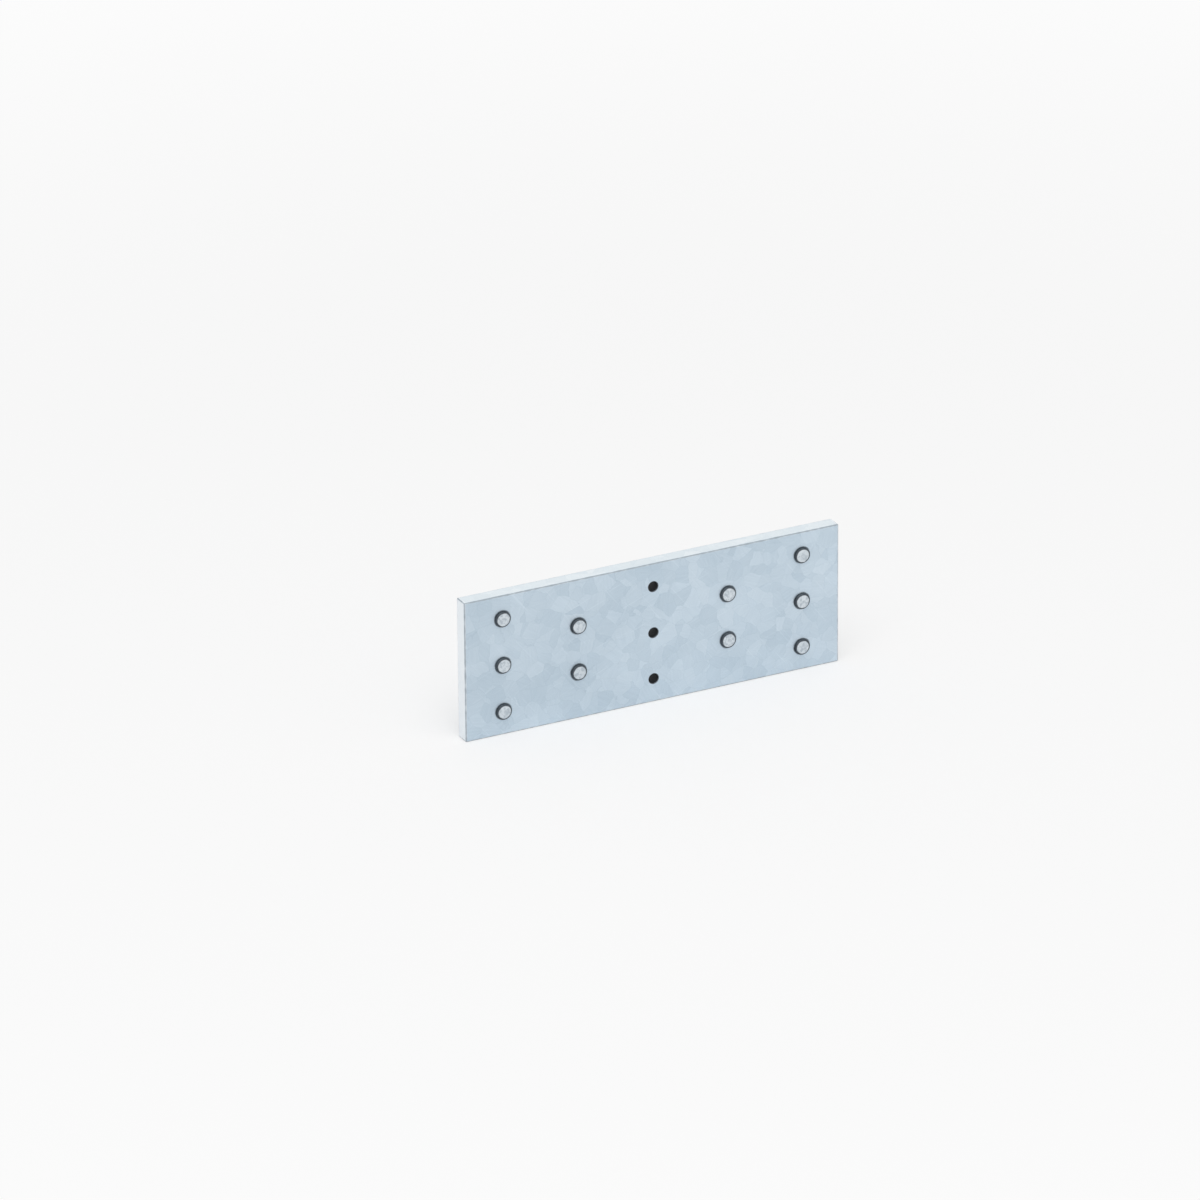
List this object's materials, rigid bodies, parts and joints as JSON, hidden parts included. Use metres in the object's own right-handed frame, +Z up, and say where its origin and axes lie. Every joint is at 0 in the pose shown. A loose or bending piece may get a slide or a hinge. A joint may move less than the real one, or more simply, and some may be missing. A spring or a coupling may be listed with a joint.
{
  "type": "mending plate",
  "caption": "Flat steel strap that joins two timbers end to end, with staggered holes, flat-headed nails in the outer holes and open holes over the seam.",
  "frame": {"origin": "middle of the plate's back face, on the axis of the middle seam hole", "axes": "+X along the plate's length, +Y out of the back face into the timber, +Z up across the plate's height; the nail heads stand proud on the -Y side"},
  "size_m": [0.2, 0.0315, 0.072],
  "materials": {
    "galvanised_plate": "dull zinc coating, pale blue-grey",
    "galvanised_nail": "zinc coating, slightly brighter than the plate"
  },
  "bodies": {
    "root": {"plate": "galvanised_plate", "nail_left_top": "galvanised_nail", "nail_left_middle": "galvanised_nail", "nail_left_bottom": "galvanised_nail", "nail_inner_left_top": "galvanised_nail", "nail_inner_left_bottom": "galvanised_nail", "nail_right_top": "galvanised_nail", "nail_right_middle": "galvanised_nail", "nail_right_bottom": "galvanised_nail", "nail_inner_right_top": "galvanised_nail", "nail_inner_right_bottom": "galvanised_nail"}
  },
  "joints": []
}
